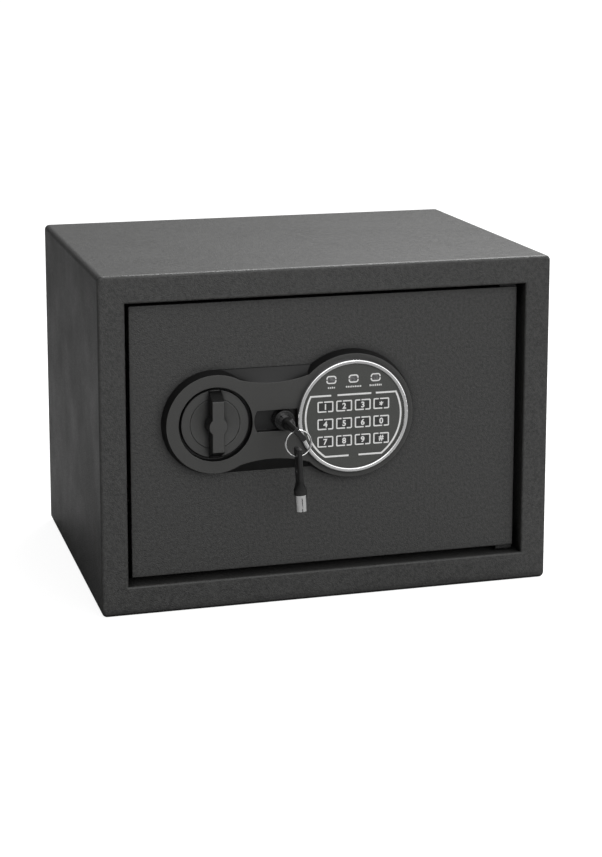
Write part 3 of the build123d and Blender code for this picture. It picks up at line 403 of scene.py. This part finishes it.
# the entries for hollows, turned walls and the recess round the lock paint shade into a look's colour
finishes = {
    "powder_coat": skinMaterial("charcoalPowderCoat", {
        "dark": (0.024, 0.024, 0.0235), "light": (0.050, 0.050, 0.0485), "wornTone": (0.13, 0.13, 0.125),
        "grainMm": 1.2, "wear": 0.6, "wearMm": 1.0, "roughness": (0.36, 0.60), "bump": 0.9, "bumpMm": 0.3,
        "cavityShade": 9.0}),
    "bezel_plastic": skinMaterial("bezelMoulding", {
        "dark": (0.040, 0.040, 0.0385), "light": (0.052, 0.052, 0.050), "wornTone": (0.15, 0.15, 0.145),
        "grainMm": 0.45, "wear": 0.8, "wearMm": 0.7, "roughness": (0.36, 0.46), "bump": 0.2,
        "paintedWallShade": (0.004, 0.004, 0.004), "cavityShade": 13.0,
        "pocketShade": ((-60, -127.9, 132), (-24, -100, 151))}),
    "knob_plastic": skinMaterial("knobMoulding", {
        "dark": (0.046, 0.046, 0.045), "light": (0.058, 0.058, 0.056), "wornTone": (0.2, 0.2, 0.195),
        "grainMm": 0.45, "wear": 0.9, "wearMm": 0.7, "roughness": (0.36, 0.46), "bump": 0.2,
        "paintedWallShade": (0.004, 0.004, 0.004), "cavityShade": 5.0}),
    "keypad_film": skinMaterial("keypadFilm", {
        "dark": (0.048, 0.050, 0.046), "light": (0.066, 0.068, 0.063), "grainMm": 0.5,
        "roughness": (0.45, 0.55), "bump": 0.12, "cavityShade": 2.5}),
    "keypad_rubber": skinMaterial("keypadRubber", {
        "dark": (0.018, 0.018, 0.018), "light": (0.036, 0.036, 0.035), "grainMm": 0.7,
        "roughness": (0.55, 0.65), "bump": 0.15, "cavityShade": 1.5}),
    "lock_black": skinMaterial("lockBlack", {
        "dark": (0.004, 0.004, 0.004), "light": (0.009, 0.009, 0.009), "wornTone": (0.35, 0.35, 0.35),
        "grainMm": 0.3, "wear": 0.5, "wearMm": 0.35, "roughness": (0.22, 0.32), "bump": 0.1, "cavityShade": 10.0}),
    "key_plastic": skinMaterial("keyHandleMoulding", {
        "dark": (0.005, 0.005, 0.005), "light": (0.011, 0.011, 0.011), "wornTone": (0.08, 0.08, 0.08),
        "grainMm": 0.4, "wear": 0.6, "wearMm": 0.4, "roughness": (0.30, 0.42), "bump": 0.15}),
    "circuit_board": skinMaterial("solderMask", {
        "dark": (0.008, 0.07, 0.03), "light": (0.015, 0.11, 0.045), "grainMm": 1.2, "roughness": (0.3, 0.4),
        "bump": 0.2}),
    "cell_sleeve": skinMaterial("cellSleeve", {
        "dark": (0.03, 0.045, 0.12), "light": (0.04, 0.06, 0.16), "grainMm": 2.0, "roughness": (0.2, 0.3),
        "bump": 0.05}),
    "cable_sheath": skinMaterial("cableSheath", {
        "dark": (0.012, 0.012, 0.012), "light": (0.02, 0.02, 0.02), "grainMm": 0.5,
        "roughness": (0.45, 0.55), "bump": 0.1}),
    "reset_red": skinMaterial("resetRed", {
        "dark": (0.45, 0.02, 0.015), "light": (0.55, 0.03, 0.02), "grainMm": 0.4, "roughness": (0.3, 0.4),
        "bump": 0.1}),
    "lamp_window": skinMaterial("lampWindow", {
        "dark": (0.06, 0.06, 0.06), "light": (0.19, 0.19, 0.19), "grainMm": 1.1, "roughness": (0.15, 0.22),
        "bump": 0.04}),
    "felt": skinMaterial("needleFelt", {
        "dark": (0.012, 0.012, 0.013), "light": (0.035, 0.035, 0.037), "grainMm": 0.5,
        "roughness": (0.9, 1.0), "specular": 0.1, "bump": 0.8, "bumpMm": 0.5}),
    "zinc_plate": metalMaterial("zincPlate", {
        "dark": (0.42, 0.43, 0.44), "light": (0.56, 0.57, 0.58), "lineMm": 0.4, "stretch": (0.05, 1, 1),
        "roughness": (0.3, 0.45), "bump": 0.2}),
    "bright_steel": metalMaterial("turnedSteel", {
        "dark": (0.50, 0.50, 0.50), "light": (0.62, 0.62, 0.62), "lineMm": 0.2, "stretch": (1, 0.1, 1),
        "roughness": (0.2, 0.32), "bump": 0.15}),
    "bush_brass": metalMaterial("turnedBrass", {
        "dark": (0.50, 0.33, 0.11), "light": (0.65, 0.45, 0.17), "lineMm": 0.2, "stretch": (1, 1, 0.1),
        "roughness": (0.2, 0.3), "bump": 0.15}),
    "ring_chrome": metalMaterial("ringChrome", {
        "dark": (0.86, 0.86, 0.86), "light": (0.93, 0.93, 0.93), "lineMm": 1.5, "stretch": (1, 1, 1),
        "roughness": (0.05, 0.12), "bump": 0.03}),
    "key_chrome": metalMaterial("keyNickel", {
        "dark": (0.74, 0.74, 0.74), "light": (0.86, 0.86, 0.86), "lineMm": 0.5, "stretch": (1, 0.1, 0.1),
        "roughness": (0.08, 0.18), "bump": 0.06}),
}
printInk = skinMaterial("printInk", {
    "dark": (0.74, 0.74, 0.73), "light": (0.86, 0.86, 0.85), "grainMm": 0.3,
    "roughness": (0.5, 0.6), "bump": 0.05})

for entry in frame["record"]["subparts"]:
    mesh = nodes[entry["node"]].data
    mesh.materials.clear()
    mesh.materials.append(finishes[entry["material_slot"]])
print("finishes placed:", len(finishes))


# prints on the keypad: thin solid strokes on the faces of the film and the key pads
printLook = {
    "thick": 0.06 * mm,
    "keyOutline": (12.4 * mm, 8.4 * mm),
    "keyStroke": 1.0 * mm,
    "keyCorner": 0.5 * mm,
    "topGap": (0.32, 0.41),
    "lowGap": (0.57, 0.68),
    "panelRadius": 37.3 * mm,
    "panelTop": 16.8 * mm,
    "panelLow": -30.1 * mm,
    "panelStroke": 1.35 * mm,
    "panelTopGaps": ((0.238, 0.312), (0.709, 0.762)),
    "panelLowGap": (0.416, 0.592),
    "lampOutline": (7.8 * mm, 6.2 * mm),
    "lampStroke": 0.95 * mm,
    "lampCorner": 1.7 * mm,
    "lampNotch": 0.8 * mm,
    "labelDrop": 5.9 * mm,
    "labelWidths": (6.0 * mm, 12.4 * mm, 10.0 * mm),
    "labelHeight": 1.5 * mm,
    "labelDash": 1.35 * mm,
    "labelInk": 0.62,          # share of a dash's room that is printed
    "labelShortest": 0.75,
    "labelSeed": 7,
    "lampAspect": 6.0 / 4.2,
    "figureHeight": 4.4 * mm,
    "figureScale": 1.38,       # letter size for a figure of that height
    "starScale": 1.6,
    "figureBold": 0.19 * mm,
}
keyFigures = {"1": "1", "2": "2", "3": "3", "star": "*", "4": "4", "5": "5", "6": "6", "0": "0",
              "7": "7", "8": "8", "9": "9", "hash": "#"}
panelMid = midOf("keypad_overlay")
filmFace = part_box("keypad_overlay")[0].y


def meshPiece(name, mesh, body, material):
    piece = bpy.data.objects.new(name, mesh)
    bpy.context.scene.collection.objects.link(piece)
    mesh.materials.clear()
    mesh.materials.append(material)
    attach(piece, body)
    return piece


def roundedPath(width, height, corner, steps=6):
    # points round a rounded rectangle, clockwise from the middle of the left side
    points = []
    for signX, signZ, start in ((-1, 1, 180), (1, 1, 90), (1, -1, 0), (-1, -1, -90)):
        centre = (signX * (width / 2 - corner), signZ * (height / 2 - corner))
        for step in range(steps + 1):
            angle = math.radians(start - 90 * step / steps)
            points.append((centre[0] + corner * math.cos(angle), centre[1] + corner * math.sin(angle)))
    return points


sharpestCorner = 0.35    # keeps a corner of a stroke from running out to a spike


def addStroke(bm, points, stroke, face, thick, closed=False):
    # one ribbon of the given width along the points, as a thin solid
    count = len(points)
    sides = []
    for i, (x, z) in enumerate(points):
        before = points[(i - 1) % count] if closed or i else points[i]
        after = points[(i + 1) % count] if closed or i < count - 1 else points[i]
        into = Vector((x - before[0], z - before[1]))
        out = Vector((after[0] - x, after[1] - z))
        into = into.normalized() if into.length > 1e-9 else out.normalized()
        out = out.normalized() if out.length > 1e-9 else into
        along = (into + out).normalized()
        across = Vector((-along.y, along.x))
        reach = stroke / 2 / max(sharpestCorner, across.dot(Vector((-into.y, into.x))))
        ring = []
        for depth in (face - thick, face):
            for side in (-1, 1):
                ring.append(bm.verts.new((x + side * reach * across.x, depth, z + side * reach * across.y)))
        sides.append(ring)
    last = count if closed else count - 1
    for i in range(last):
        a, b = sides[i], sides[(i + 1) % count]
        for p, q in ((0, 1), (1, 3), (3, 2), (2, 0)):
            bm.faces.new((a[p], a[q], b[q], b[p]))
    if not closed:
        for ring in (sides[0], sides[-1]):
            bm.faces.new((ring[0], ring[1], ring[3], ring[2]))


def strokesToMesh(name, strokes, face):
    bm = bmesh.new()
    for points, width, closed in strokes:
        addStroke(bm, points, width, face, printLook["thick"], closed)
    bmesh.ops.recalc_face_normals(bm, faces=bm.faces)
    mesh = bpy.data.meshes.new(name)
    bm.to_mesh(mesh)
    bm.free()
    return mesh


def moved(points, x, z):
    return [(px + x, pz + z) for px, pz in points]


def keyOutlineStrokes(x, z):
    # two hooks that together make the outline, with a gap in the top edge and one in the lower edge
    width, height = (side - printLook["keyStroke"] for side in printLook["keyOutline"])
    path = roundedPath(width, height, printLook["keyCorner"])
    quarter = len(path) // 4
    topLeft, topRight, lowRight, lowLeft = (path[i * quarter:(i + 1) * quarter] for i in range(4))
    topGap = [(-width / 2 + share * width, height / 2) for share in printLook["topGap"]]
    lowGap = [(-width / 2 + share * width, -height / 2) for share in printLook["lowGap"]]
    left = [lowGap[0]] + lowLeft + topLeft + [topGap[0]]
    right = [topGap[1]] + topRight + lowRight + [lowGap[1]]
    return [(moved(hook, x, z), printLook["keyStroke"], False) for hook in (left, right)]


def panelStrokes(x, z):
    radius, top, low = (printLook[k] for k in ("panelRadius", "panelTop", "panelLow"))
    halfTop = math.sqrt(radius ** 2 - top ** 2)
    halfLow = math.sqrt(radius ** 2 - low ** 2)
    strokes = []
    topCuts = [-halfTop + share * 2 * halfTop for gap in printLook["panelTopGaps"] for share in gap]
    lowCuts = [-halfLow + share * 2 * halfLow for share in printLook["panelLowGap"]]
    strokes.append([(topCuts[1], top), (topCuts[2], top)])
    for side, topCut, lowCut in ((-1, topCuts[0], lowCuts[0]), (1, topCuts[3], lowCuts[1])):
        first = math.atan2(top, halfTop)
        last = math.atan2(low, halfLow)
        turns = [first + (last - first) * i / 40 for i in range(41)]
        arc = [(side * radius * math.cos(t), radius * math.sin(t)) for t in turns]
        strokes.append([(topCut, top)] + arc + [(lowCut, low)])
    return [(moved(path, x, z), printLook["panelStroke"], False) for path in strokes]


def lampStrokes(x, z):
    width, height = (side - printLook["lampStroke"] for side in printLook["lampOutline"])
    path = roundedPath(width, height, printLook["lampCorner"])
    half = len(path) // 2
    notch = printLook["lampNotch"] / 2
    upper = [(-width / 2, notch)] + path[:half] + [(width / 2, notch)]
    lower = [(width / 2, -notch)] + path[half:] + [(-width / 2, -notch)]
    return [(moved(edge, x, z), printLook["lampStroke"], False) for edge in (upper, lower)]


def labelStrokes(x, z, width, dice):
    # a short row of little upright dashes where a caption would stand
    height = printLook["labelHeight"]
    count = max(4, round(width / printLook["labelDash"]))
    strokes = []
    for i in range(count):
        px = x - width / 2 + width * (i + 0.5) / count
        tall = height * dice.uniform(printLook["labelShortest"], 1.0)
        dash = [(px, z - height / 2), (px, z - height / 2 + tall)]
        strokes.append((dash, printLook["labelInk"] * width / count, False))
    return strokes


def addPrint(name, strokes):
    meshPiece(name, strokesToMesh(name, strokes, filmFace), "door", printInk)


def addKeypadPrints():
    dice = random.Random(printLook["labelSeed"])
    strokes = []
    for name in keyFigures:
        mid = midOf("key_" + name)
        strokes += keyOutlineStrokes(mid.x, mid.z)
    addPrint("keyOutlines", strokes)
    addPrint("panelOutline", panelStrokes(panelMid.x, panelMid.z))
    low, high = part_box("indicator_lenses")
    lampZ = (low.z + high.z) / 2
    halfLens = (high.z - low.z) * printLook["lampAspect"] / 2
    lamps, labels = [], []
    for i, width in enumerate(printLook["labelWidths"]):
        x = low.x + halfLens + i * (high.x - low.x - 2 * halfLens) / 2
        lamps += lampStrokes(x, lampZ)
        labels += labelStrokes(x, lampZ - printLook["labelDrop"], width, dice)
    addPrint("lampOutlines", lamps)
    addPrint("lampLabels", labels)


def addKeyFigure(name, figure):
    text = bpy.data.curves.new("figure_" + name, "FONT")
    text.body = figure
    text.align_x = "CENTER"
    text.align_y = "CENTER"
    text.size = printLook["figureHeight"] * printLook["starScale" if figure == "*" else "figureScale"]
    text.offset = printLook["figureBold"]
    text.extrude = printLook["thick"] / 2
    text.resolution_u = 6
    source = bpy.data.objects.new("figureSource", text)
    mesh = bpy.data.meshes.new_from_object(source)
    bpy.data.objects.remove(source)
    mesh.name = "figure_" + name
    mid = midOf("key_" + name)
    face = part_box("key_" + name)[0].y - printLook["thick"] / 2
    corners = [v.co for v in mesh.vertices]
    midX = (min(c.x for c in corners) + max(c.x for c in corners)) / 2
    midY = (min(c.y for c in corners) + max(c.y for c in corners)) / 2
    for v in mesh.vertices:
        x, up, out = v.co
        v.co = (mid.x + x - midX, face - out, mid.z + up - midY)
    mesh.update()
    meshPiece("figure_" + name, mesh, "key_" + name, printInk)


addKeypadPrints()
for keyName, figure in keyFigures.items():
    addKeyFigure(keyName, figure)
print("keypad printed")


# felt mat on the safe's floor
matLook = {
    "cell": 4 * mm,
    "wave": 0.25 * mm,
    "wavesPerMetre": 25,
    "seed": 3,
    "thick": 1.5 * mm,
    "holes": ((-75 * mm, 10 * mm), (75 * mm, 10 * mm)),    # over the floor's anchor holes
    "holeRadius": 11 * mm,
    "holeRim": 0.9,            # share of a cell that is drawn in to the hole's edge
}


def addFeltMat(look):
    low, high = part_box("floor_mat")
    width, length = high.x - low.x, high.y - low.y
    holes = look["holes"]
    waves = look["wavesPerMetre"]
    bm = bmesh.new()
    countX, countY = round(width / look["cell"]), round(length / look["cell"])
    grid = []
    for i in range(countX + 1):
        column = []
        for j in range(countY + 1):
            x = low.x + width * i / countX
            y = low.y + length * j / countY
            wave = noise.noise(Vector((x * waves, y * waves, look["seed"])))
            column.append(bm.verts.new((x, y, high.z - look["wave"] * (1 + wave) / 2)))
        grid.append(column)
    for i in range(countX):
        for j in range(countY):
            midX = low.x + width * (i + 0.5) / countX
            midY = low.y + length * (j + 0.5) / countY
            if all(math.hypot(midX - hx, midY - hy) > look["holeRadius"] for hx, hy in holes):
                bm.faces.new((grid[i][j], grid[i + 1][j], grid[i + 1][j + 1], grid[i][j + 1]))
    bmesh.ops.delete(bm, geom=[v for v in bm.verts if not v.link_faces], context="VERTS")
    for v in bm.verts:
        for hx, hy in holes:
            away = math.hypot(v.co.x - hx, v.co.y - hy)
            if away < look["holeRadius"] + look["cell"] * look["holeRim"]:
                v.co.x = hx + (v.co.x - hx) * look["holeRadius"] / away
                v.co.y = hy + (v.co.y - hy) * look["holeRadius"] / away
    mesh = bpy.data.meshes.new("feltMat")
    bm.to_mesh(mesh)
    bm.free()
    for face in mesh.polygons:
        face.use_smooth = True
    mat = meshPiece("feltMat", mesh, "casing", finishes["felt"])
    thicken = mat.modifiers.new("thickness", "SOLIDIFY")
    thicken.thickness = look["thick"]
    thicken.offset = -1
    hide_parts("floor_mat")


addFeltMat(matLook)
print("mat laid")
